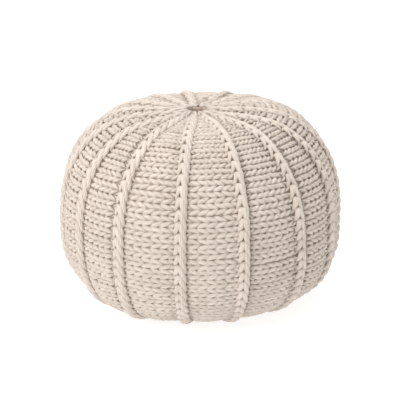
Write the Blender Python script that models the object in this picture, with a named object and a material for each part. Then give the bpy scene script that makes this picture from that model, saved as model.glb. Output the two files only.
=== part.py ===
"""Knitted pouf: one filled body with raised ribs, a gathered crown and a flat underside.

Metres, +Z up. The origin is the middle of the face that the pouf stands on, and its front
looks along -Y. The solid is the outer shape of the knit: panels that swell a little between
raised chain ribs, all drawn together on a small hole in the crown.
"""

import math

import bmesh
import bpy

# Overall form: a rounded drum, measured over the crests of the ribs
RADIUS = 0.250
CROWN_RISE = 0.210
SIDE_DROP = 0.1456
FOOT_RADIUS = 0.125
CROWN_POWER = 2.58
SIDE_POWER_OUT = 2.21
SIDE_POWER_DOWN = 2.53

# Knit relief
RIB_WIDTH = 0.020
GROOVE_DEPTH = 0.0065
PANEL_SWELL = 0.0030
RIB_SHARE_AT_CROWN = 0.62
FULL_RELIEF_SPACING = 0.034
RELIEF_STARTS = 0.132
RELIEF_FULL = 0.185

# Gathered crown
CROWN_DIP = 0.0188
DIP_RADIUS = 0.168
GATHER_OFFSET = (-0.0055, 0.0095)
GATHER_REACH = 0.106

# How finely the surface is cut
SIDE_ROWS = 11
CROWN_ROWS = 20
CROWN_STOP_DEGREES = 87.2
PANEL_COLUMNS = 3

KNIT_COLOUR = (0.67, 0.58, 0.49, 1.0)
KNIT_ROUGHNESS = 0.9

# Direction of the first rib in the table, counted to the right of the front
FIRST_RIB_DEGREES = -79.1

# One row a rib, going round to the right.
# turn: degrees past its even place at the widest level. lean: degrees it turns on over each
# LEAN_HEIGHT further up. sweep: degrees it swings on by the gather, most of them close to it.
# swell: crown of the panel to its right, against the usual.
RIBS = (
    # turn, lean, sweep, swell
    (-0.9, 0.7, 10.8, 1.00),
    (-2.0, 0.3, 16.6, 0.90),
    (-2.7, -0.2, 5.3, 1.10),
    (-0.7, -0.2, -4.9, 1.00),
    (0.4, -0.1, -5.2, 0.85),
    (3.1, -2.2, -9.8, 1.15),
    (2.7, -1.0, -19.8, 1.00),
    (-2.8, -0.1, -0.9, 0.90),
    (-0.5, 0.0, 0.0, 1.05),
    (1.0, 0.0, 0.0, 1.20),
    (-1.5, 0.0, 0.0, 0.95),
    (5.2, 0.0, 0.0, 1.00),
    (5.6, 0.0, 0.0, 1.10),
    (7.2, 0.0, 0.0, 0.90),
    (4.1, 0.1, 2.2, 1.05),
)
LEAN_HEIGHT = 0.200

# Where the filling pushes the knit out a little further.
# turn: degrees to the right of the front. height: of its middle. turn_reach, height_reach: how
# far it fades, in degrees and metres. push: outward at its middle.
LUMPS = (
    # turn, height, turn_reach, height_reach, push
    (-40.0, 0.028, 22.0, 0.028, 0.006),
    (115.0, 0.295, 36.0, 0.060, 0.004),
    (80.0, 0.070, 26.0, 0.040, 0.003),
)

# Half of a rib's section, from its crest out to the groove beside it.
# across: share of the half width. down: share of the groove's depth.
RIB_SECTION = (
    # across, down
    (0.00, 0.00),
    (0.55, 0.28),
    (1.00, 1.00),
)

# The drawn-in hole, from its rim down to its floor.
HOLE_ROWS = (
    # radius, depth
    (0.0170, 0.0000),
    (0.0140, 0.0040),
    (0.0125, 0.0120),
    (0.0105, 0.0200),
    (0.0075, 0.0240),
)


def smooth_step(value, low, high):
    share = min(max((value - low) / (high - low), 0.0), 1.0)
    return share * share * (3.0 - 2.0 * share)


def crown_height(radius):
    """Height of the crests above the widest level, with the dip around the gather."""
    share = min(radius / RADIUS, 1.0)
    rise = CROWN_RISE * (1.0 - share ** CROWN_POWER) ** (1.0 / CROWN_POWER)
    return rise - CROWN_DIP * (1.0 - smooth_step(radius, 0.0, DIP_RADIUS))


def crest_profile():
    """Rows of (radius, height, relief share) from the floor up, over the rim and into the hole."""
    rows = [(FOOT_RADIUS, 0.0, 0.0)]
    for step in range(1, SIDE_ROWS):
        angle = math.radians(90.0 * (1.0 - step / SIDE_ROWS))
        out = math.cos(angle) ** (2.0 / SIDE_POWER_OUT)
        down = math.sin(angle) ** (2.0 / SIDE_POWER_DOWN)
        radius = FOOT_RADIUS + (RADIUS - FOOT_RADIUS) * out
        relief = smooth_step(radius, RELIEF_STARTS, RELIEF_FULL)
        rows.append((radius, SIDE_DROP * (1.0 - down), relief))
    for step in range(CROWN_ROWS):
        angle = math.radians(CROWN_STOP_DEGREES * step / (CROWN_ROWS - 1))
        radius = RADIUS * math.cos(angle) ** (2.0 / CROWN_POWER)
        rows.append((radius, SIDE_DROP + crown_height(radius), 1.0))
    rim = SIDE_DROP + crown_height(HOLE_ROWS[0][0])
    for radius, depth in HOLE_ROWS:
        relief = 1.0 - smooth_step(depth, 0.0, HOLE_ROWS[-1][1])
        rows.append((radius, rim - depth, relief))
    return rows


def inward_normals(rows):
    """Unit vectors (radius, height) that point from the crests into the body, one a row."""
    normals = []
    for index in range(len(rows)):
        before = rows[max(index - 1, 0)]
        after = rows[min(index + 1, len(rows) - 1)]
        out = after[0] - before[0]
        up = after[1] - before[1]
        length = math.hypot(out, up)
        normals.append((-up / length, out / length))
    return normals


def rib_angle(index, radius, height):
    """Direction of a rib at one row, counted to the right of the front, on past a full turn."""
    lap, place = divmod(index, len(RIBS))
    turn, lean, sweep, _ = RIBS[place]
    even = FIRST_RIB_DEGREES + 360.0 * (place / len(RIBS) + lap)
    inside = 1.0 - radius / RADIUS if height > SIDE_DROP else 0.0
    climb = (height - SIDE_DROP) / LEAN_HEIGHT
    return math.radians(even + turn + lean * climb + sweep * inside ** 2)


def lump_push(angle, height):
    """How far the filling pushes the surface out at one place."""
    push = 0.0
    for turn, middle, turn_reach, height_reach, most in LUMPS:
        away = (math.degrees(angle) - turn + 180.0) % 360.0 - 180.0
        push += most * math.exp(-(away / turn_reach) ** 2 - ((height - middle) / height_reach) ** 2)
    return push


def row_outline(radius, height, relief):
    """(angle, depth below the crests) once round the pouf at one row, going right."""
    outline = []
    for index in range(len(RIBS)):
        swell = RIBS[index][3]
        start = rib_angle(index, radius, height)
        end = rib_angle(index + 1, radius, height)
        spacing = radius * (end - start)
        half_rib = min(RIB_WIDTH, RIB_SHARE_AT_CROWN * spacing) / 2.0
        half_turn = half_rib / radius
        depth = GROOVE_DEPTH * relief * min(spacing / FULL_RELIEF_SPACING, 1.0)
        crown = PANEL_SWELL * swell * relief * min(spacing / (RADIUS * math.tau / len(RIBS)), 1.0)
        for across, down in RIB_SECTION:
            outline.append((start + across * half_turn, down * depth))
        for column in range(1, PANEL_COLUMNS + 1):
            share = column / (PANEL_COLUMNS + 1)
            angle = start + half_turn + share * (end - start - 2.0 * half_turn)
            outline.append((angle, depth - crown * math.sin(math.pi * share)))
        for across, down in reversed(RIB_SECTION[1:]):
            outline.append((end - across * half_turn, down * depth))
    return outline


def ring_points(row, inward):
    """The points of one row, with the gather drawn a little off the middle."""
    radius, height, relief = row
    pull = 1.0 - smooth_step(radius, 0.0, GATHER_REACH)
    if height < SIDE_DROP:
        pull = 0.0
    points = []
    for angle, depth in row_outline(radius, height, relief):
        inset = depth - relief * lump_push(angle, height)
        out = radius + inset * inward[0]
        x = out * math.sin(angle) + pull * GATHER_OFFSET[0]
        y = -out * math.cos(angle) + pull * GATHER_OFFSET[1]
        points.append((x, y, max(height + inset * inward[1], 0.0)))
    return points


def build_body():
    """Rings of points bridged with faces, closed by the flat foot and by the hole's floor."""
    rows = crest_profile()
    normals = inward_normals(rows)
    shape = bmesh.new()
    rings = []
    for row, inward in zip(rows, normals):
        rings.append([shape.verts.new(point) for point in ring_points(row, inward)])
    columns = len(rings[0])
    for lower, upper in zip(rings, rings[1:]):
        for column in range(columns):
            after = (column + 1) % columns
            shape.faces.new((lower[column], lower[after], upper[after], upper[column]))
    shape.faces.new(reversed(rings[0]))
    shape.faces.new(rings[-1])
    return shape


def centre_on_origin(shape):
    """Moves the body so that the middle of its plan is over the origin."""
    for axis in (0, 1):
        places = [vertex.co[axis] for vertex in shape.verts]
        middle = (min(places) + max(places)) / 2.0
        for vertex in shape.verts:
            vertex.co[axis] -= middle


def knit_material():
    material = bpy.data.materials.new("knit")
    material.use_nodes = True
    shader = material.node_tree.nodes["Principled BSDF"]
    shader.inputs["Base Color"].default_value = KNIT_COLOUR
    shader.inputs["Roughness"].default_value = KNIT_ROUGHNESS
    shader.inputs["Metallic"].default_value = 0.0
    return material


def clear_objects():
    for old in list(bpy.data.objects):
        bpy.data.objects.remove(old, do_unlink=True)


def main():
    clear_objects()
    shape = build_body()
    centre_on_origin(shape)
    bmesh.ops.triangulate(shape, faces=shape.faces[:])
    mesh = bpy.data.meshes.new("pouf")
    shape.to_mesh(mesh)
    shape.free()
    mesh.shade_smooth()
    pouf = bpy.data.objects.new("pouf", mesh)
    pouf.data.materials.append(knit_material())
    bpy.context.scene.collection.objects.link(pouf)


main()
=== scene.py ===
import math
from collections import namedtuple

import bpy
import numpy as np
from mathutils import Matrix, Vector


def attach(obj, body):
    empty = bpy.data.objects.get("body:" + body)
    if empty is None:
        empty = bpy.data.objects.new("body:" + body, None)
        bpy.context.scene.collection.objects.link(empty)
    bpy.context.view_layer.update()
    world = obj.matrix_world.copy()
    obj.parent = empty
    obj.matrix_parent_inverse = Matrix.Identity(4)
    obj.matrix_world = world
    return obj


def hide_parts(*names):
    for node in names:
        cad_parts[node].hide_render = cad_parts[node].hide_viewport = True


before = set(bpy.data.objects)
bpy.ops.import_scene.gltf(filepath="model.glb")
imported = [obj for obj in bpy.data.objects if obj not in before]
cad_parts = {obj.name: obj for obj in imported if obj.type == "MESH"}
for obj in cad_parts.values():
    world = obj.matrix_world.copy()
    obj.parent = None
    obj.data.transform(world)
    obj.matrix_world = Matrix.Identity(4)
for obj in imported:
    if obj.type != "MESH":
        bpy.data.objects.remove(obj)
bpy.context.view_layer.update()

# Knitted pouf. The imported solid's surface is replaced by its knit: a ground, and on it every leg of
# every stitch as a cord, laid along the same profile and the same ribs as the solid's.
#
# Metres, +Z up. An angle is counted to the right of the front, which is -Y. An arc is a length along
# the profile, from under the foot, up the side, over the crown and down into the hole. A depth is
# measured inward from the crests of the ribs.

SEED = 15

# ---------------------------------------------------------------- form, as in the solid

RADIUS = 0.250
CROWN_RISE = 0.210
SIDE_DROP = 0.1456
FOOT_RADIUS = 0.125
CROWN_POWER = 2.58
SIDE_POWER_OUT = 2.21
SIDE_POWER_DOWN = 2.53

RIB_WIDTH = 0.020
GROOVE_DEPTH = 0.0065
PANEL_SWELL = 0.0030
FULL_RELIEF_SPACING = 0.034
RELIEF_STARTS = 0.132
RELIEF_FULL = 0.185

CROWN_DIP = 0.0188
DIP_RADIUS = 0.168
GATHER_OFFSET = (-0.0055, 0.0095)
GATHER_REACH = 0.106

FIRST_RIB_DEGREES = -79.1

# One row a rib, going round to the right of the front.
# turn: degrees past its even place at the widest level. lean: degrees it turns on over each
# LEAN_HEIGHT further up. sweep: degrees it swings on by the gather, most of them close to it.
# swell: crown of the panel to its right, against the usual. loose: how open that panel's knitting
# is, from 0. flat: how far the grooves beside the rib have filled out towards the crown, from 0.
Rib = namedtuple("Rib", "turn lean sweep swell loose flat")
RIBS = [Rib(*row) for row in (
    # turn, lean, sweep, swell, loose, flat
    (-0.9, 0.7, 10.8, 1.00, 0.75, 0.35),
    (-2.0, 0.3, 16.6, 0.90, 0.65, 0.35),
    (-2.7, -0.2, 5.3, 1.10, 0.35, 0.45),
    (-0.7, -0.2, -4.9, 1.00, 0.20, 0.55),
    (0.4, -0.1, -5.2, 0.85, 0.60, 0.55),
    (3.1, -2.2, -9.8, 1.15, 0.93, 0.70),
    (2.7, -1.0, -19.8, 1.00, 0.93, 0.85),
    (-2.8, -0.1, -0.9, 0.90, 0.60, 0.85),
    (-0.5, 0.0, 0.0, 1.05, 0.30, 0.70),
    (1.0, 0.0, 0.0, 1.20, 0.50, 0.30),
    (-1.5, 0.0, 0.0, 0.95, 0.20, 0.10),
    (5.2, 0.0, 0.0, 1.00, 0.40, 0.10),
    (5.6, 0.0, 0.0, 1.10, 0.20, 0.20),
    (7.2, 0.0, 0.0, 0.90, 0.80, 0.30),
    (4.1, 0.1, 2.2, 1.05, 0.85, 0.35),
)]
LEAN_HEIGHT = 0.200
# Over what arcs past the widest level the grooves fill out.
FLAT_ARCS = (0.120, 0.230)

# Where the filling pushes the knit out a little further.
# turn: degrees to the right of the front. height: of its middle. turn_reach, height_reach: how
# far it fades, in degrees and metres. push: outward at its middle.
LUMPS = (
    # turn, height, turn_reach, height_reach, push
    (-40.0, 0.028, 22.0, 0.028, 0.006),
    (115.0, 0.295, 36.0, 0.060, 0.004),
    (80.0, 0.070, 26.0, 0.040, 0.003),
)

# The drawn-in hole, from its rim down to its floor.
HOLE_ROWS = (
    # radius, depth
    (0.0170, 0.0000),
    (0.0140, 0.0040),
    (0.0125, 0.0120),
    (0.0105, 0.0200),
    (0.0075, 0.0240),
)

# Where the middle of the solid's plan lay before it was moved onto the origin.
PLAN_MIDDLE = (0.0013, -0.0008)

# The underside runs in to a small gather too. Up to this share of the way to the widest level, the
# ribs take the same share of the spacing as further out.
UNDER_GATHER_RADIUS = 0.010
UNDER_SHARE = 0.5

# A rib's share of the spacing, at the radii where it changes: near the crown's gather the ribs stay
# wide and squeeze the panels out.
RIB_SHARE_OUT = 0.64
RIB_SHARE_IN = 0.98
RIB_SHARE_RADII = (0.024, 0.055)

# How far a panel climbs out of the groove at its right edge, where it runs under the next rib, and
# between what shares of its width.
RIGHT_EDGE_RISE = 0.15
RIGHT_EDGE_SHARES = (0.90, 1.02)

# How finely the profile is worked out: points under the foot, up the side and over the crown, and
# then one every ARC_STEP.
UNDER_SAMPLES = 200
SIDE_SAMPLES = 700
CROWN_SAMPLES = 1200
ARC_STEP = 0.0005

# In steps of the profile: how far before the hole's rim it starts to be rounded off, and how far to
# each side a point is averaged there.
RIM_SOFT_BEFORE = 16
RIM_SOFT_REACH = 5


def smooth_step(value, low, high):
    share = np.clip((value - low) / (high - low), 0.0, 1.0)
    return share * share * (3.0 - 2.0 * share)


def crown_height(radius):
    """Height of the crests above the widest level, with the dip around the gather."""
    share = np.minimum(radius / RADIUS, 1.0)
    rise = CROWN_RISE * (1.0 - share ** CROWN_POWER) ** (1.0 / CROWN_POWER)
    return rise - CROWN_DIP * (1.0 - smooth_step(radius, 0.0, DIP_RADIUS))


def dense_profile():
    """Arc, radius, height and relief of the crests, from under the foot down to the hole's floor."""
    under = np.linspace(UNDER_GATHER_RADIUS, FOOT_RADIUS, UNDER_SAMPLES)
    angle = np.radians(np.linspace(90.0, 0.0, SIDE_SAMPLES))[1:]
    side = FOOT_RADIUS + (RADIUS - FOOT_RADIUS) * np.cos(angle) ** (2.0 / SIDE_POWER_OUT)
    side_height = SIDE_DROP * (1.0 - np.sin(angle) ** (2.0 / SIDE_POWER_DOWN))

    rim_radius = HOLE_ROWS[0][0]
    last = math.acos((rim_radius / RADIUS) ** (CROWN_POWER / 2.0))
    angle = np.linspace(0.0, last, CROWN_SAMPLES)[1:]
    crown = RADIUS * np.cos(angle) ** (2.0 / CROWN_POWER)
    hole, hole_depth = np.array(HOLE_ROWS[1:]).T
    hole_height = SIDE_DROP + crown_height(rim_radius) - hole_depth

    radius = np.concatenate([under, side, crown, hole])
    height = np.concatenate([under * 0.0, side_height, SIDE_DROP + crown_height(crown), hole_height])
    relief = smooth_step(radius, RELIEF_STARTS, RELIEF_FULL)
    relief[len(under) + len(side):] = 1.0
    relief[-len(hole):] = 1.0 - smooth_step(hole_depth, 0.0, HOLE_ROWS[-1][1])

    arc = np.concatenate([[0.0], np.cumsum(np.hypot(np.diff(radius), np.diff(height)))])
    even = np.arange(0.0, arc[-1], ARC_STEP)
    return even, *(np.interp(even, arc, values) for values in (radius, height, relief))


def softened(values, start, reach):
    """The values with a moving average over 2 * reach + 1 of them, from start on."""
    padded = np.concatenate([values, np.full(reach, values[-1])])
    kernel = np.ones(2 * reach + 1) / (2 * reach + 1)
    smooth = np.convolve(padded, kernel, mode="same")[:len(values)]
    result = values.copy()
    result[start:] = smooth[start:]
    return result


def knit_profile():
    """The dense profile, with the hole's rim rounded off, and the arc where that rim lies."""
    arc, radius, height, relief = dense_profile()
    rim_arc = arc[np.nonzero(radius > HOLE_ROWS[0][0])[0][-1]]
    start = int(rim_arc / ARC_STEP) - RIM_SOFT_BEFORE
    radius = softened(radius, start, RIM_SOFT_REACH)
    height = softened(height, start, RIM_SOFT_REACH)
    return arc, radius, height, relief, rim_arc


def inward_normals(radius, height):
    """Radius and height parts of the unit vectors from the profile into the body."""
    out = np.gradient(radius)
    up = np.gradient(height)
    length = np.hypot(out, up)
    return -up / length, out / length


ARC, PROFILE_R, PROFILE_Z, PROFILE_RELIEF, RIM_ARC = knit_profile()
INWARD_R, INWARD_Z = inward_normals(PROFILE_R, PROFILE_Z)
WIDEST_ARC = ARC[int(np.argmax(PROFILE_R))]


def at(arc, values):
    """What one of the profile's columns of values is at an arc."""
    return np.interp(arc, ARC, values)


def rib_course(index, arc):
    """Direction of a rib in radians at an arc, counted on past a full turn."""
    lap, row = divmod(index, len(RIBS))
    rib = RIBS[row]
    even = FIRST_RIB_DEGREES + 360.0 * (lap + row / len(RIBS))
    inside = np.where(arc > WIDEST_ARC, 1.0 - at(arc, PROFILE_R) / RADIUS, 0.0)
    climb = (at(arc, PROFILE_Z) - SIDE_DROP) / LEAN_HEIGHT
    return np.radians(even + rib.turn + rib.lean * climb + rib.sweep * inside ** 2)


# The ribs' directions at the widest level and how flat each is, with the first again at the end.
RIB_ANGLES = np.array([float(rib_course(index, WIDEST_ARC)) for index in range(len(RIBS) + 1)])
RIB_FLATS = [rib.flat for rib in RIBS + RIBS[:1]]


def half_rib(arc, spacing):
    """Half of a rib's width, where the ribs are that spacing apart."""
    radius = at(arc, PROFILE_R)
    share = RIB_SHARE_IN + (RIB_SHARE_OUT - RIB_SHARE_IN) * smooth_step(radius, *RIB_SHARE_RADII)
    share = np.where(arc < UNDER_SHARE * WIDEST_ARC, RIB_SHARE_OUT, share)
    return np.minimum(RIB_WIDTH, share * spacing) / 2.0


def lump_push(angle, height):
    """How far the filling pushes the knit out at one place."""
    push = np.zeros(np.broadcast(angle, height).shape)
    for turn, middle, turn_reach, height_reach, most in LUMPS:
        away = (np.degrees(angle) - turn + 180.0) % 360.0 - 180.0
        push += most * np.exp(-(away / turn_reach) ** 2 - ((height - middle) / height_reach) ** 2)
    return push


def place(angle, arc, inset):
    """World points at a direction, an arc and a depth under the crests."""
    radius = at(arc, PROFILE_R)
    height = at(arc, PROFILE_Z)
    depth = inset - at(arc, PROFILE_RELIEF) * lump_push(angle, height)
    pull = np.where(arc > WIDEST_ARC, 1.0 - smooth_step(radius, 0.0, GATHER_REACH), 0.0)
    out = radius + depth * at(arc, INWARD_R)
    x = out * np.sin(angle) + pull * GATHER_OFFSET[0] - PLAN_MIDDLE[0]
    y = -out * np.cos(angle) + pull * GATHER_OFFSET[1] - PLAN_MIDDLE[1]
    z = np.maximum(height + depth * at(arc, INWARD_Z), 0.0)
    return np.stack(np.broadcast_arrays(x, y, z), axis=-1)


def outward(angle, arc):
    """Unit vectors out of the body."""
    inward_r = at(arc, INWARD_R)
    inward_z = at(arc, INWARD_Z)
    parts = (-inward_r * np.sin(angle), inward_r * np.cos(angle), -inward_z)
    return np.stack(np.broadcast_arrays(*parts), axis=-1)


def filled_out(angle, arc):
    """How far the grooves have filled out at one place, from 0 to 1."""
    return np.interp(angle, RIB_ANGLES, RIB_FLATS) * smooth_step(arc - WIDEST_ARC, *FLAT_ARCS)


def groove_depth(angle, arc, spacing):
    """Depth of the grooves beside the ribs."""
    full = GROOVE_DEPTH * at(arc, PROFILE_RELIEF) * np.minimum(spacing / FULL_RELIEF_SPACING, 1.0)
    return full * (1.0 - filled_out(angle, arc))


def panel_depth(angle, arc, spacing, share, swell):
    """Depth of a panel's face, at a share of the way across it."""
    full = RADIUS * math.tau / len(RIBS)
    crown = PANEL_SWELL * swell * at(arc, PROFILE_RELIEF) * np.minimum(spacing / full, 1.0)
    rise = RIGHT_EDGE_RISE * smooth_step(share, *RIGHT_EDGE_SHARES)
    groove = groove_depth(angle, arc, spacing) * (1.0 - rise)
    return np.maximum(groove - crown * np.sin(np.pi * np.clip(share, 0.0, 1.0)), 0.0)


# ---------------------------------------------------------------- meshes

# Directions of a cord's corners, seen along it: close together on top and far apart below.
RING_SIDES = np.radians((-90.0, -15.0, 28.0, 68.0, 112.0, 152.0, 195.0))
# How far along its plies and fibres a cord of tone 1 starts. Cords of other tones start elsewhere.
TWIST_START = 7.0


def mesh_piece(name, points, faces, corner_uvs, tones, material):
    """A smooth mesh object. faces is a list of (count, sides) index arrays, corner_uvs one a corner."""
    mesh = bpy.data.meshes.new(name)
    corners = np.concatenate([block.ravel() for block in faces]).astype(np.int32)
    sizes = np.concatenate([np.full(len(block), block.shape[1]) for block in faces])
    starts = np.concatenate([[0], np.cumsum(sizes)[:-1]]).astype(np.int32)
    mesh.vertices.add(len(points))
    mesh.vertices.foreach_set("co", points.astype(np.float32).ravel())
    mesh.loops.add(len(corners))
    mesh.loops.foreach_set("vertex_index", corners)
    mesh.polygons.add(len(sizes))
    mesh.polygons.foreach_set("loop_start", starts)
    mesh.polygons.foreach_set("use_smooth", np.ones(len(sizes), dtype=bool))
    mesh.update(calc_edges=True)
    yarn = mesh.uv_layers.new(name="yarn")
    yarn.data.foreach_set("uv", corner_uvs.astype(np.float32).ravel())
    tone = mesh.attributes.new("tone", "FLOAT", "POINT")
    tone.data.foreach_set("value", tones.astype(np.float32))
    mesh.validate()
    mesh.materials.append(material)
    piece = bpy.data.objects.new(name, mesh)
    bpy.context.scene.collection.objects.link(piece)
    return piece


def unit(vectors):
    return vectors / np.linalg.norm(vectors, axis=-1, keepdims=True)


def strand_uvs(centre, tone):
    """Every corner's place on its cord: metres along it and turns around it, in strands' face order."""
    tubes, steps, _ = centre.shape
    sides = len(RING_SIDES)
    travelled = np.linalg.norm(np.diff(centre, axis=1), axis=2)
    run = np.concatenate([np.zeros((tubes, 1)), np.cumsum(travelled, axis=1)], axis=1)
    run = run + tone[:, None] * TWIST_START
    turn = (np.arange(sides + 1) / sides)[None, None, :]
    u = np.broadcast_to(run[:, :, None], (tubes, steps, sides + 1))
    v = np.broadcast_to(turn, (tubes, steps, sides + 1))
    uv = np.stack([u, v], axis=-1)
    walls = np.stack([uv[:, :-1, :-1], uv[:, 1:, :-1], uv[:, 1:, 1:], uv[:, :-1, 1:]], axis=3)
    starts = uv[:, 0, :-1]
    ends = uv[:, -1, :-1][:, ::-1]
    return np.concatenate([part.reshape(-1, 2) for part in (walls, starts, ends)])


def strands(name, centre, facing, width, thick, tone, material):
    """One closed tapering tube for each row of centre, joined in one mesh.

    centre and facing are (tubes, steps, 3), width and thick are half sizes (tubes, steps), and tone
    is one a tube.
    """
    tubes, steps, _ = centre.shape
    sides = len(RING_SIDES)
    along = unit(np.gradient(centre, axis=1))
    across = unit(np.cross(along, facing))
    lift = np.cross(across, along)
    around = RING_SIDES[None, None, :, None]
    ring = centre[:, :, None] + across[:, :, None] * np.cos(around) * width[:, :, None, None]
    ring = ring + lift[:, :, None] * np.sin(around) * thick[:, :, None, None]
    points = ring.reshape(-1, 3)
    points[:, 2] = np.maximum(points[:, 2], 0.0)

    index = np.arange(tubes * steps * sides).reshape(tubes, steps, sides)
    after = np.roll(index, -1, axis=2)
    walls = np.stack([index[:, :-1], index[:, 1:], after[:, 1:], after[:, :-1]], axis=-1)
    starts = index[:, 0]
    ends = index[:, -1, ::-1]
    faces = [walls.reshape(-1, 4), starts.reshape(-1, sides), ends.reshape(-1, sides)]
    tones = np.repeat(tone, steps * sides)
    return mesh_piece(name, points, faces, strand_uvs(centre, tone), tones, material)


# ---------------------------------------------------------------- materials

# The cord's lighter and darker colours. The darker stands for darker fibres and patches, and for painted
# shade in the grooves between the plies.
CORD_COLOUR = (0.735, 0.652, 0.576, 1.0)
CORD_DARK_TONE_AND_PAINTED_SHADE = (0.500, 0.423, 0.354, 1.0)
# The ground's colours are darker than the cord's, as painted shade in the gaps between the cords. The
# darker one is painted shade beside the ribs, down the hole and under loose panels.
GROUND_COLOUR = (0.670, 0.566, 0.476, 1.0)
GROUND_PAINTED_SHADE = (0.290, 0.218, 0.164, 1.0)
WHITE = (1.0, 1.0, 1.0, 1.0)

COTTON = {
    "Roughness": 0.92,
    "Metallic": 0.0,
    "Specular IOR Level": 0.25,
    "Sheen Weight": 0.12,
    "Sheen Roughness": 0.5,
    "Sheen Tint": (1.0, 0.97, 0.93, 1.0),
}

# The cord's plies, and how far along it they take to go round once.
CORD_STRANDS = 6
STRAND_TURN = 0.060
# Its fibres, as cells of a noise: along each metre of the cord, in one turn around it, and how many
# of those around it they wind along each metre.
FIBRES_ALONG = 110.0
FIBRES_AROUND = 26.0
FIBRES_WIND = 260.0
# Patches of other tone over the whole knit, in each metre.
PATCHES = 24.0
NOISE_DETAIL = 3.0

# How much the plies and the fibres stand out, each against the relief's height.
RELIEF_HEIGHT = 0.0016
RELIEF_STRENGTH = 0.9
PLY_RELIEF = 0.6
FIBRE_RELIEF = 0.7
# What each adds to the share of the lighter colour. The plies' share is painted shade: darker in the
# grooves between them, lighter on their crowns.
FIBRE_LIGHT = 0.55
PLY_PAINTED_SHADE = 0.20
PATCH_LIGHT = 0.35
# On the ground, the tone carries painted shade beside the ribs, down the hole and under loose panels.
TONE_LIGHT = 0.22


def new_material(name, values):
    """A material, and its shader with the given values on its own sockets."""
    material = bpy.data.materials.new(name)
    material.use_nodes = True
    shader = material.node_tree.nodes["Principled BSDF"]
    for socket, value in values.items():
        shader.inputs[socket].default_value = value
    return material, shader


def socket_math(tree, operation, *values):
    """The result of a math node on sockets or plain numbers."""
    node = tree.nodes.new("ShaderNodeMath")
    node.operation = operation
    for slot, value in zip(node.inputs, values):
        if isinstance(value, (int, float)):
            slot.default_value = value
        else:
            tree.links.new(value, slot)
    return node.outputs[0]


def weighted_sum(tree, *terms):
    """The sum of (socket, weight) pairs."""
    parts = [socket_math(tree, "MULTIPLY", socket, weight) for socket, weight in terms]
    total = parts[0]
    for part in parts[1:]:
        total = socket_math(tree, "ADD", total, part)
    return total


def noise(tree, vector, scale):
    node = tree.nodes.new("ShaderNodeTexNoise")
    node.inputs["Scale"].default_value = scale
    node.inputs["Detail"].default_value = NOISE_DETAIL
    tree.links.new(vector, node.inputs["Vector"])
    return node.outputs["Fac"]


def cord_material(name, light, dark):
    """Soft cotton cord: loosely laid plies with painted shade in the grooves between them, fine fibres
    along them, small changes of tone.
    """
    material, shader = new_material(name, COTTON)
    tree = material.node_tree
    nodes = tree.nodes
    links = tree.links

    yarn = nodes.new("ShaderNodeUVMap")
    yarn.uv_map = "yarn"
    parts = nodes.new("ShaderNodeSeparateXYZ")
    links.new(yarn.outputs["UV"], parts.inputs["Vector"])
    run = parts.outputs["X"]
    turn = parts.outputs["Y"]

    ridges = math.pi * CORD_STRANDS
    phase = weighted_sum(tree, (run, ridges / STRAND_TURN), (turn, ridges))
    ply = socket_math(tree, "ABSOLUTE", socket_math(tree, "SINE", phase))

    stretch = nodes.new("ShaderNodeCombineXYZ")
    links.new(socket_math(tree, "MULTIPLY", run, FIBRES_ALONG), stretch.inputs["X"])
    links.new(weighted_sum(tree, (turn, FIBRES_AROUND), (run, FIBRES_WIND)), stretch.inputs["Y"])
    fibre = noise(tree, stretch.outputs["Vector"], 1.0)

    coordinates = nodes.new("ShaderNodeTexCoord")
    patch = noise(tree, coordinates.outputs["Object"], PATCHES)

    tone = nodes.new("ShaderNodeAttribute")
    tone.attribute_name = "tone"

    bump = nodes.new("ShaderNodeBump")
    bump.inputs["Strength"].default_value = RELIEF_STRENGTH
    bump.inputs["Distance"].default_value = RELIEF_HEIGHT
    links.new(weighted_sum(tree, (ply, PLY_RELIEF), (fibre, FIBRE_RELIEF)), bump.inputs["Height"])
    links.new(bump.outputs["Normal"], shader.inputs["Normal"])

    ramp = nodes.new("ShaderNodeMix")
    ramp.data_type = "RGBA"
    ramp.inputs["A"].default_value = dark
    ramp.inputs["B"].default_value = light
    # The plies add painted shade, darker in the grooves between them.
    woven = ((fibre, FIBRE_LIGHT), (ply, PLY_PAINTED_SHADE))
    broad = ((patch, PATCH_LIGHT), (tone.outputs["Fac"], TONE_LIGHT))
    links.new(weighted_sum(tree, *woven, *broad), ramp.inputs["Factor"])
    links.new(ramp.outputs["Result"], shader.inputs["Base Color"])
    return material


# ---------------------------------------------------------------- the knit's ground, under the cords

GROUND_PANEL_COLUMNS = 14
GROUND_ROWS = 150
# How far it lies under the cords' faces, and the most of the radius that it may.
BODY_INSET = 0.0059
INSET_RADIUS_SHARE = 0.45
# Between what shares of half a rib it goes down from the rib's crest into the groove.
CREST_FALL_FROM = 0.3
CREST_FALL_TO = 1.2
# A width that stands for none, where the ribs meet.
NO_WIDTH = 1e-6

# Its tone, and how much darker it is painted, as shade, under a loose panel, beside the ribs and down
# the hole.
GROUND_TONE = 1.9
LOOSE_PAINTED_SHADE = 1.4
GROOVE_PAINTED_SHADE = 3.2
GROOVE_PAINTED_SHADE_REACH = (0.0010, 0.0110)
HOLE_PAINTED_SHADE = 3.6
HOLE_PAINTED_SHADE_ARCS = (0.003, 0.009)

# Cords are drawn at full size where half a rib has this much room, and no smaller than the least.
FULL_CORD_ROOM = 0.0078
LEAST_CORD_SCALE = 0.40


def cord_scale(half):
    """How much thinner the cords are drawn where a rib has little room."""
    return np.clip(half / FULL_CORD_ROOM, LEAST_CORD_SCALE, 1.0)


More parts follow.
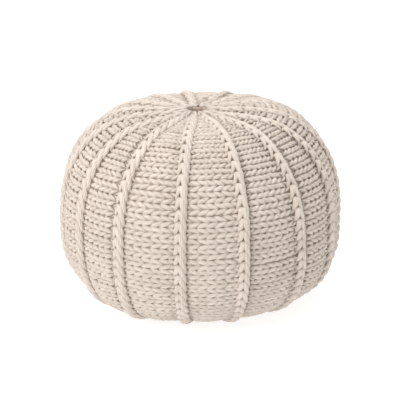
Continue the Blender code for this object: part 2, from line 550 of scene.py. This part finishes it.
def ground_panel(index, arc):
    """Points and tones of the ground from one rib's crest to the next one's, for a column of arcs. The
    tones carry painted shade beside the ribs, down the hole and under loose panels.
    """
    rib = RIBS[index]
    start = rib_course(index, arc)
    turn = rib_course(index + 1, arc) - start
    share = np.arange(GROUND_PANEL_COLUMNS) / GROUND_PANEL_COLUMNS
    angle = start + share * turn
    radius = at(arc, PROFILE_R)
    spacing = radius * turn
    half = half_rib(arc, spacing)
    from_rib = np.minimum(share, 1.0 - share) * spacing

    clear = np.maximum(spacing - 2.0 * half, NO_WIDTH)
    across = np.clip((share * spacing - half) / clear, 0.0, 1.0)
    face = panel_depth(angle, arc, spacing, across, rib.swell)
    fall = smooth_step(from_rib, CREST_FALL_FROM * half, CREST_FALL_TO * half)
    crest = groove_depth(angle, arc, spacing) * fall
    depth = np.where(from_rib < half, np.minimum(crest, face), face)
    inset = np.minimum(BODY_INSET * cord_scale(half), INSET_RADIUS_SHARE * radius)

    # Painted shade: darker beside the ribs and down the hole, and under loose panels.
    rib_groove_painted_shade = GROOVE_PAINTED_SHADE * (1.0 - smooth_step(from_rib - half, *GROOVE_PAINTED_SHADE_REACH))
    hole_painted_shade = HOLE_PAINTED_SHADE * smooth_step(arc - RIM_ARC, *HOLE_PAINTED_SHADE_ARCS)
    painted_shade = np.where(arc > RIM_ARC, hole_painted_shade, rib_groove_painted_shade)
    tone = GROUND_TONE - LOOSE_PAINTED_SHADE * rib.loose - painted_shade
    return place(angle, arc, depth + inset), tone


def build_ground(material):
    """The inner face of the knit over the filling, painted darker as shade: it closes what shows between
    the cords.
    """
    arc = np.linspace(0.0, ARC[-1], GROUND_ROWS)[:, None]
    points, tones = zip(*(ground_panel(index, arc) for index in range(len(RIBS))))
    grid = np.concatenate(points, axis=1)
    rows, around, _ = grid.shape
    index = np.arange(rows * around).reshape(rows, around)
    after = np.roll(index, -1, axis=1)
    walls = np.stack([index[:-1], after[:-1], after[1:], index[1:]], axis=-1).reshape(-1, 4)
    faces = [walls, index[:1, ::-1], index[-1:, :]]
    corner_uvs = np.zeros((sum(block.size for block in faces), 2))
    tones = np.concatenate(tones, axis=1).ravel()
    return mesh_piece("pouf_ground", grid.reshape(-1, 3), faces, corner_uvs, tones, material)


# ---------------------------------------------------------------- rows of knitting

CORD_WIDTH = 0.0083
CORD_THICK = 0.0080

# The panels are plain knitting turned on its side: each row of it goes round the pouf, with its
# chevrons pointing right. The rows are closer together low down than over the crown.
FIRST_ROW_ABOVE_WIDEST = 0.0164
ROW_PITCH_LOW = 0.0179
ROW_PITCH_HIGH = 0.0205
ROW_PITCH_ARCS = (-0.010, 0.100)
# The lowest row is at least this share of a pitch from the underside's gather, and the highest this
# far from the hole's floor.
LOWEST_ROW_SHARE = 0.3
HIGHEST_ROW_BEFORE = 0.004
# How far the rows climb towards the right, and from what radii on.
ROW_SLOPE = 0.0035
ROW_SLOPE_RADII = (0.050, 0.150)


def pitch_at(arc):
    """How far apart the rows are at an arc."""
    grow = ROW_PITCH_HIGH - ROW_PITCH_LOW
    return ROW_PITCH_LOW + grow * float(smooth_step(arc - WIDEST_ARC, *ROW_PITCH_ARCS))


def row_arcs():
    """Arcs of the middles of the panels' rows, from the foot's gather to the crown's."""
    start = WIDEST_ARC + FIRST_ROW_ABOVE_WIDEST
    up = [start]
    while up[-1] + pitch_at(up[-1]) < ARC[-1] - HIGHEST_ROW_BEFORE:
        up.append(up[-1] + pitch_at(up[-1]))
    down = [start]
    while down[-1] - pitch_at(down[-1]) > LOWEST_ROW_SHARE * ROW_PITCH_LOW:
        down.append(down[-1] - pitch_at(down[-1]))
    return np.array(down[:0:-1] + up)


ROW_ARCS = row_arcs()
ROW_PITCHES = np.gradient(ROW_ARCS)


def row_climb(arc, angle):
    """How far above its even course a row lies at one place."""
    return ROW_SLOPE * smooth_step(at(arc, PROFILE_R), *ROW_SLOPE_RADII) * np.sin(angle)


# ---------------------------------------------------------------- the panels' stitches

# A leg of a panel's chevron, from where it comes up through the last stitch to where it dives.
PANEL_LEG = (
    # along, out from the row's middle over the row's pitch, lift, thickness
    (0.00, 0.050, -1.00, 0.46),
    (0.12, 0.072, -0.46, 0.68),
    (0.26, 0.122, -0.12, 0.89),
    (0.40, 0.192, -0.02, 0.99),
    (0.55, 0.272, 0.00, 1.00),
    (0.70, 0.335, -0.05, 0.95),
    (0.85, 0.379, -0.30, 0.80),
    (1.00, 0.398, -0.95, 0.52),
)
# How deep it dives for a lift of -1, over the cord's thickness.
PANEL_DIVE = 0.80

# How far apart the stitches of a row are where it is widest, and no closer than the least.
STITCH_PITCH = 0.0146
LEAST_STITCH_PITCH = 0.0078
# Where the eyes of a row's first and last stitch lie, as shares of the panel's width, and how far
# a chevron's point is past its eye, over the pitch.
EYE_FIRST = 0.920
EYE_LAST = 0.062
EYE_FROM_VERTEX = 0.74
# How far before the point a leg starts and how long it is, over the pitch, and what is added to that.
LEG_BEFORE = 0.20
LEG_LENGTH = 1.76
LEG_EXTRA = 0.0010

# Rows end this share of a pitch before the hole's rim, and where a panel is narrower than the least.
LAST_ROW_SHARE = 0.5
LEAST_PANEL = 0.0002
# In a panel narrower than SQUEEZE_OVER less SQUEEZE_ADDS, the cords are drawn smaller: by its width
# plus SQUEEZE_ADDS, over SQUEEZE_OVER.
SQUEEZE_ADDS = 0.010
SQUEEZE_OVER = 0.017

# How far legs may run past a panel's edges, under the ribs, and how deep they tuck in there.
LEFT_EDGE_REACH = 0.0060
RIGHT_EDGE_REACH = 0.0100
EDGE_TUCK = 0.0035
LEFT_TUCK_REACH = (-0.0035, 0.0050)
RIGHT_TUCK_REACH = (0.0010, 0.0080)
RIGHT_TUCK = 0.6
FILLED_TUCKS_LESS = 0.7
# How wide a chevron opens at the left edge, over the row's pitch, and how near the edge.
EDGE_SPREAD = 0.25
EDGE_SPREAD_REACH = (-0.001, 0.008)

# How much narrower a leg gets at the panel's edges, and how near them. Loose knitting thins it more
# and from further in. At the right edge it thins with the panel's looseness, but no less than the
# least.
EDGE_THIN = 0.50
LEFT_THIN_REACH = (0.002, 0.009)
RIGHT_THIN_REACH = (-0.0120, -0.0060)
LOOSE_THINS_FURTHER = 0.004
LOOSE_THINS_MORE = 0.5
RIGHT_END_LOOSE = 1.25
RIGHT_END_LEAST = 0.25
# How much of that narrowing its thickness takes too.
THIN_TO_THICK = 0.5
# How much thinner a leg is in loose knitting, what share of the looseness there is low down, and
# over what arcs past the widest level the rest comes in.
LOOSE_THIN = 0.30
LOOSE_LOW = 0.55
LOOSE_ARCS = (0.060, 0.200)

# Unevenness by hand, as standard deviations: of a panel, a column, a row, a stitch and a leg. Those
# of a column and of a stitch along its row are shares of the pitch.
PANEL_SHIFT = 0.0007
COLUMN_JITTER = 0.035
ROW_SHIFT = 0.0005
ROW_TILT = 0.0009
STITCH_JITTER = 0.035
STITCH_SHIFT = 0.0003
LEG_SIZE_JITTER = 0.035
LEG_SHIFT = 0.00025
LEG_SINK = 0.0003
LEG_TONE_JITTER = 0.15

# A row of one panel: its arc and pitch, the radius there, the direction of the rib to its left, how
# far apart the ribs are and how much of that is the panel's.
Row = namedtuple("Row", "arc pitch radius start spacing clear")


def within(x, low, high, low_reach, high_reach):
    """x, with what goes past low or high squeezed into a reach beyond it."""
    over = high_reach * (1.0 - np.exp(-np.maximum(x - high, 0.0) / high_reach))
    under = low_reach * (1.0 - np.exp(-np.maximum(low - x, 0.0) / low_reach))
    return np.clip(x, low, high) + over - under


def panel_rows(index):
    """The rows of one panel that have room for knitting."""
    rows = []
    for arc, pitch in zip(ROW_ARCS, ROW_PITCHES):
        radius = float(at(arc, PROFILE_R))
        start = float(rib_course(index, arc))
        spacing = radius * (float(rib_course(index + 1, arc)) - start)
        clear = spacing - 2.0 * float(half_rib(arc, spacing))
        if arc <= RIM_ARC - LAST_ROW_SHARE * pitch and clear >= LEAST_PANEL:
            rows.append(Row(arc, pitch, radius, start, spacing, clear))
    return rows


def stitch_eyes(clear, most):
    """How far apart a row's stitches are, and their eyes from one before the first, going left."""
    count = int(np.clip(round(clear / LEAST_STITCH_PITCH), 1, most))
    if count > 1:
        first = EYE_FIRST * clear
        pitch = (EYE_FIRST - EYE_LAST) * clear / (count - 1)
    else:
        first = 0.5 * clear
        pitch = max(clear, LEAST_STITCH_PITCH)
    return pitch, first - pitch * np.arange(-1, count)


def looseness(index, arc):
    """How open the knitting of a panel is at an arc."""
    loose = RIBS[index].loose
    low = LOOSE_LOW * loose
    return loose * (low + (1.0 - low) * float(smooth_step(arc - WIDEST_ARC, *LOOSE_ARCS)))


def edge_thinning(x, clear, filled, loose, panel_loose):
    """How far a leg is thinned near the panel's two edges, over EDGE_THIN."""
    left = (1.0 - smooth_step(x - LOOSE_THINS_FURTHER * loose, *LEFT_THIN_REACH)) * (1.0 - filled)
    left = left * (1.0 + LOOSE_THINS_MORE * loose)
    right_most = max(RIGHT_END_LOOSE * panel_loose, RIGHT_END_LEAST)
    return np.maximum(left, smooth_step(x - clear, *RIGHT_THIN_REACH) * right_most)


def panel_leg(rng, index, row, pitch, vertex, course, side):
    """Centre line, facing, half width and half thickness of one leg.

    vertex is where its chevron points, in metres across the panel, course how far its row has shifted
    up, and side is -1 for the lower leg and 1 for the upper.
    """
    rib = RIBS[index]
    share, out, lift, taper = np.array(PANEL_LEG).T
    squeeze = min(1.0, (row.clear + SQUEEZE_ADDS) / SQUEEZE_OVER)
    loose = looseness(index, row.arc)
    size = 1.0 + rng.normal(0.0, LEG_SIZE_JITTER) - LOOSE_THIN * loose

    x = vertex - LEG_BEFORE * pitch - (LEG_LENGTH * pitch + LEG_EXTRA) * share
    x = within(x, 0.0, row.clear, LEFT_EDGE_REACH * squeeze, RIGHT_EDGE_REACH * squeeze)
    near_left = 1.0 - smooth_step(x, *EDGE_SPREAD_REACH)
    spread = np.maximum(out, out + (EDGE_SPREAD - out) * near_left)
    arc = row.arc + course + side * row.pitch * spread + rng.normal(0.0, LEG_SHIFT)
    arc = arc + row_climb(row.arc, row.start + (0.5 * (row.spacing - row.clear) + x) / row.radius)

    start = rib_course(index, arc)
    radius = at(arc, PROFILE_R)
    gap = radius * (rib_course(index + 1, arc) - start)
    half = half_rib(arc, gap)
    part = x / row.clear
    angle = start + (half + part * (gap - 2.0 * half)) / radius
    filled = filled_out(angle, arc)

    tuck = smooth_step(-x, *LEFT_TUCK_REACH) + RIGHT_TUCK * smooth_step(x - row.clear, *RIGHT_TUCK_REACH)
    tuck = EDGE_TUCK * tuck * (1.0 - FILLED_TUCKS_LESS * filled)
    depth = panel_depth(angle, arc, gap, part, rib.swell) + tuck
    sink = squeeze * -lift * CORD_THICK * PANEL_DIVE + abs(rng.normal(0.0, LEG_SINK))
    centre = place(angle, arc, depth + 0.5 * CORD_THICK * size * squeeze + sink)

    thin = 1.0 - EDGE_THIN * edge_thinning(x, row.clear, filled, loose, rib.loose)
    width = 0.5 * CORD_WIDTH * size * taper * thin * squeeze
    thick = 0.5 * CORD_THICK * size * taper * squeeze * (1.0 - THIN_TO_THICK * (1.0 - thin))
    return centre, outward(angle, arc), width, thick


def panel_stitches(rng, index):
    """Every leg in one panel: centre line, facing, half width, half thickness and tone."""
    widest = RADIUS * (RIB_ANGLES[index + 1] - RIB_ANGLES[index]) - RIB_WIDTH
    most = max(2, round(widest / STITCH_PITCH))
    columns = rng.normal(0.0, COLUMN_JITTER, most + 1)
    panel_shift = rng.normal(0.0, PANEL_SHIFT)
    legs = []
    for row in panel_rows(index):
        pitch, eyes = stitch_eyes(row.clear, most)
        row_shift = rng.normal(0.0, ROW_SHIFT)
        tilt = rng.normal(0.0, ROW_TILT)
        for stitch, eye in enumerate(eyes):
            past_eye = EYE_FROM_VERTEX + columns[stitch] + rng.normal(0.0, STITCH_JITTER)
            vertex = eye + past_eye * pitch
            tilted = tilt * (stitch / (len(eyes) - 1) - 0.5)
            course = panel_shift + row_shift + tilted + rng.normal(0.0, STITCH_SHIFT)
            tone = rng.uniform(0.0, 1.0)
            for side in (-1.0, 1.0):
                leg = panel_leg(rng, index, row, pitch, vertex, course, side)
                leg_tone = np.clip(tone + rng.normal(0.0, LEG_TONE_JITTER), 0.0, 1.0)
                legs.append((*leg, leg_tone))
    return legs


# ---------------------------------------------------------------- the ribs' stitches

# A rib is a column of chain stitches that point up. One table a leg, from the point down.
RIGHT_RIB_LEG = (
    # along, across over half the rib, lift, thickness
    (0.00, 0.05, -1.00, 0.66),
    (0.04, 0.07, -0.50, 0.84),
    (0.10, 0.11, -0.07, 0.96),
    (0.22, 0.22, 0.00, 1.00),
    (0.34, 0.36, 0.00, 0.99),
    (0.46, 0.51, 0.00, 0.96),
    (0.58, 0.64, -0.01, 0.94),
    (0.70, 0.71, -0.05, 0.92),
    (0.83, 0.74, -0.18, 0.86),
    (0.92, 0.76, -0.50, 0.76),
    (1.00, 0.77, -0.95, 0.60),
)
LEFT_RIB_LEG = (
    # along, across over half the rib, lift, thickness
    (0.00, -0.28, -1.00, 0.66),
    (0.05, -0.30, -0.45, 0.84),
    (0.12, -0.33, -0.06, 0.97),
    (0.26, -0.39, 0.00, 1.00),
    (0.40, -0.48, 0.00, 0.98),
    (0.52, -0.60, -0.01, 0.91),
    (0.63, -0.73, -0.07, 0.82),
    (0.72, -0.82, -0.28, 0.75),
    (0.81, -0.88, -0.62, 0.70),
    (0.90, -0.92, -0.92, 0.66),
    (1.00, -0.93, -1.15, 0.60),
)
# How long each leg is over the rows' pitch, and how wide over the cord.
RIB_LEGS = (
    # table, length, width
    (RIGHT_RIB_LEG, 1.93, 1.18),
    (LEFT_RIB_LEG, 1.32, 1.17),
)
# How deep a leg dives for a lift of -1, over the cord's thickness.
RIB_DIVE = 0.72
# Nearer the gather the left legs lie closer to the crest and are slimmer.
LEFT_LEG_DRAWN_IN = 0.14
LEFT_LEG_SLIMMED = 0.22
DRAWN_IN_ARCS = (0.070, 0.170)
# How far the point of a chain stitch lies below the row beside it.
RIB_POINT_BELOW_ROW = 0.0012
# The last whole row is at least this share of a pitch before the hole's rim. The stitch after it
# turns over the rim and ends this far down the hole.
LAST_RIB_ROW_SHARE = 0.3
RIB_PAST_RIM = 0.0055
# How far the cords of a rib turn with the slope of its two sides.
RIB_ROLL = 0.8

# Unevenness by hand, as standard deviations: of a rib, a stitch and a leg.
RIB_SHIFT = 0.0010
RIB_STITCH_SHIFT = 0.0005
RIB_SWAY = 0.0004
RIB_SIZE_JITTER = 0.03
RIB_TONE_JITTER = 0.10
# Between what tones a stitch's own lies.
RIB_TONES = (0.2, 1.0)


def rib_leg(rng, index, top, pitch, sway, drawn_in, table, length, fat):
    """Centre line, facing, half width and half thickness of one leg of a chain stitch.

    top is the arc of the stitch's point, sway how far it leans right, and drawn_in how near the
    gather it is, from 0 to 1. The rest is the leg's row of RIB_LEGS.
    """
    share, across, lift, taper = np.array(table).T
    left = drawn_in * (across < 0.0)
    across = across * (1.0 - LEFT_LEG_DRAWN_IN * left)
    taper = taper * (1.0 - LEFT_LEG_SLIMMED * left)

    arc = np.clip(top - length * pitch * share, 0.0, ARC[-1])
    radius = at(arc, PROFILE_R)
    course = rib_course(index, arc)
    spacing = 0.5 * radius * (rib_course(index + 1, arc) - rib_course(index - 1, arc))
    half = half_rib(arc, spacing)
    scale = cord_scale(half)
    size = 1.0 + rng.normal(0.0, RIB_SIZE_JITTER)
    angle = course + (across * half + sway * scale) / radius
    groove = groove_depth(course, arc, spacing)
    sunk = scale * CORD_THICK * (0.5 * size - RIB_DIVE * lift)
    centre = place(angle, arc, np.minimum(across ** 2, 1.0) * groove + sunk)

    roll = RIB_ROLL * np.arctan(2.0 * across * groove / half)
    sideways = np.stack([np.cos(angle), np.sin(angle), np.zeros(len(angle))], axis=-1)
    facing = unit(outward(angle, arc) + np.tan(roll)[:, None] * sideways)
    width = 0.5 * CORD_WIDTH * fat * size * taper * scale
    thick = 0.5 * CORD_THICK * size * taper * scale
    return centre, facing, width, thick


def rib_stitches(rng, index):
    """Every leg in one rib: centre line, facing, half width, half thickness and tone."""
    rib_shift = rng.normal(0.0, RIB_SHIFT)
    last = RIM_ARC - LAST_RIB_ROW_SHARE * ROW_PITCHES[-1]
    arcs = np.append(ROW_ARCS[ROW_ARCS < last], RIM_ARC + RIB_PAST_RIM)
    legs = []
    for arc, pitch in zip(arcs, ROW_PITCHES):
        top = arc + rib_shift - RIB_POINT_BELOW_ROW + rng.normal(0.0, RIB_STITCH_SHIFT)
        top = top + float(row_climb(arc, rib_course(index, arc)))
        tone = rng.uniform(*RIB_TONES)
        sway = rng.normal(0.0, RIB_SWAY)
        drawn_in = float(smooth_step(arc - WIDEST_ARC, *DRAWN_IN_ARCS))
        for table, length, fat in RIB_LEGS:
            leg = rib_leg(rng, index, top, pitch, sway, drawn_in, table, length, fat)
            leg_tone = np.clip(tone + rng.normal(0.0, RIB_TONE_JITTER), 0.0, 1.0)
            legs.append((*leg, leg_tone))
    return legs


# How many panels and how many ribs are joined in one piece.
PANELS_PER_PIECE = 3
RIBS_PER_PIECE = 8


def knit_pieces(rng, name, stitches, per_piece, material):
    """The legs of all the panels or all the ribs, joined in a few numbered pieces."""
    groups = [stitches(rng, index) for index in range(len(RIBS))]
    pieces = []
    for first in range(0, len(RIBS), per_piece):
        legs = sum(groups[first:first + per_piece], [])
        columns = [np.array(column) for column in zip(*legs)]
        pieces.append(strands(f"{name}_{first // per_piece + 1}", *columns, material))
    return pieces


# ---------------------------------------------------------------- the cord's end

# It is tucked in as a small curl behind the hole, and leans back against the slope.
CURL_DEGREES = 164.0
CURL_RADIUS = 0.0440
CURL_RISE = 0.0012
CURL_LEAN_DEGREES = 52.0
CURL_TURNS = 1.35
# Its radius where it starts and where it ends.
CURL_SIZES = (0.0044, 0.0014)
CURL_CORD = 0.0026
# How thick it is at its two ends, over its middle, and how soon it is full.
CURL_END_SHARE = 0.6
CURL_END_POWER = 0.4
CURL_TONE = 0.6
CURL_STEPS = 26


def build_curl(material):
    """A flat spiral of thin cord, seen from the front over the hole."""
    share = np.linspace(0.0, 1.0, CURL_STEPS)
    swirl = CURL_SIZES[0] + (CURL_SIZES[1] - CURL_SIZES[0]) * share
    spin = math.tau * CURL_TURNS * share
    lean = math.radians(CURL_LEAN_DEGREES)
    right = np.array([1.0, 0.0, 0.0])
    up = np.array([0.0, math.cos(lean), math.sin(lean)])
    arc = ARC[np.nonzero(PROFILE_R > CURL_RADIUS)[0][-1]]
    middle = place(math.radians(CURL_DEGREES), arc, -CURL_RISE)
    centre = middle + (swirl * np.cos(spin))[:, None] * right + (swirl * np.sin(spin))[:, None] * up
    facing = np.broadcast_to(np.cross(right, up), centre.shape)
    full = CURL_END_SHARE + (1.0 - CURL_END_SHARE) * np.sin(np.pi * share) ** CURL_END_POWER
    half = (0.5 * CURL_CORD * full)[None]
    return strands("crown_curl", centre[None], facing[None], half, half, np.array([CURL_TONE]), material)


# ---------------------------------------------------------------- camera, stage and lights

# The camera stands CAMERA_DISTANCE from the target and looks at the aim, a little above it.
CAMERA_ELEVATION = math.radians(20.43)
CAMERA_DISTANCE = 2.625
CAMERA_TARGET = Vector((-PLAN_MIDDLE[0], -PLAN_MIDDLE[1], 0.1377))
CAMERA_AIM = Vector((0.0001 - PLAN_MIDDLE[0], -PLAN_MIDDLE[1], 0.1698))
FOCAL_PIXELS = 1474.4
IMAGE_SIDE = 400.0
SENSOR = 36.0
VIEW_END = 50.0

FLOOR_HALF = 12.0
FLOOR_BELOW = 0.0005
FLOOR_FINISH = {
    "Base Color": (0.50, 0.50, 0.50, 1.0),
    "Roughness": 1.0,
    "Specular IOR Level": 0.0,
    "Emission Color": WHITE,
    "Emission Strength": 0.72,
}

# Soft boxes: from where they shine, how strong, how wide and their tint.
LIGHTS = (
    # name, place, watts, side, tint
    ("key", (-2.3, -1.9, 2.1), 58.0, 1.2, (1.0, 0.985, 0.965)),
    ("top", (0.3, 0.1, 3.0), 40.0, 1.6, (1.0, 1.0, 1.0)),
)
SKY_STRENGTH = 0.82


def make_camera():
    data = bpy.data.cameras.new("camera")
    camera = bpy.data.objects.new("camera", data)
    bpy.context.scene.collection.objects.link(camera)
    back = Vector((0.0, -math.cos(CAMERA_ELEVATION), math.sin(CAMERA_ELEVATION)))
    camera.location = CAMERA_TARGET + back * CAMERA_DISTANCE
    camera.rotation_euler = (CAMERA_AIM - camera.location).to_track_quat("-Z", "Y").to_euler()
    data.sensor_width = SENSOR
    data.lens = FOCAL_PIXELS / IMAGE_SIDE * SENSOR
    data.clip_end = VIEW_END
    bpy.context.scene.camera = camera


def make_floor():
    """A plain pale floor, lit enough to come out white."""
    half = FLOOR_HALF
    mesh = bpy.data.meshes.new("floor")
    corners = [(-half, -half, 0.0), (half, -half, 0.0), (half, half, 0.0), (-half, half, 0.0)]
    mesh.from_pydata(corners, [], [(0, 1, 2, 3)])
    material, _ = new_material("floor", FLOOR_FINISH)
    mesh.materials.append(material)
    floor = bpy.data.objects.new("floor", mesh)
    floor.location.z = -FLOOR_BELOW
    bpy.context.scene.collection.objects.link(floor)


def make_lights():
    for name, where, watts, side, tint in LIGHTS:
        data = bpy.data.lights.new(name, "AREA")
        data.energy = watts
        data.shape = "SQUARE"
        data.size = side
        data.color = tint
        light = bpy.data.objects.new(name, data)
        light.location = where
        light.rotation_euler = (CAMERA_TARGET - Vector(where)).to_track_quat("-Z", "Y").to_euler()
        bpy.context.scene.collection.objects.link(light)
    world = bpy.data.worlds.new("studio")
    world.use_nodes = True
    sky = world.node_tree.nodes["Background"]
    sky.inputs["Color"].default_value = WHITE
    sky.inputs["Strength"].default_value = SKY_STRENGTH
    bpy.context.scene.world = world
    bpy.context.scene.view_settings.view_transform = "Standard"


# ---------------------------------------------------------------- putting it together


def main():
    make_camera()
    make_floor()
    make_lights()
    cord = cord_material("cord", CORD_COLOUR, CORD_DARK_TONE_AND_PAINTED_SHADE)
    # The ground is the cord's material with painted shade in its colours.
    ground_painted_shade_material = cord_material("cord_inner_painted_shade", GROUND_COLOUR, GROUND_PAINTED_SHADE)
    rng = np.random.default_rng(SEED)

    pieces = [build_ground(ground_painted_shade_material)]
    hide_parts("pouf")
    pieces += knit_pieces(rng, "knit_panels", panel_stitches, PANELS_PER_PIECE, cord)
    pieces += knit_pieces(rng, "knit_ribs", rib_stitches, RIBS_PER_PIECE, cord)
    pieces.append(build_curl(cord))
    for piece in pieces:
        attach(piece, "root")


main()
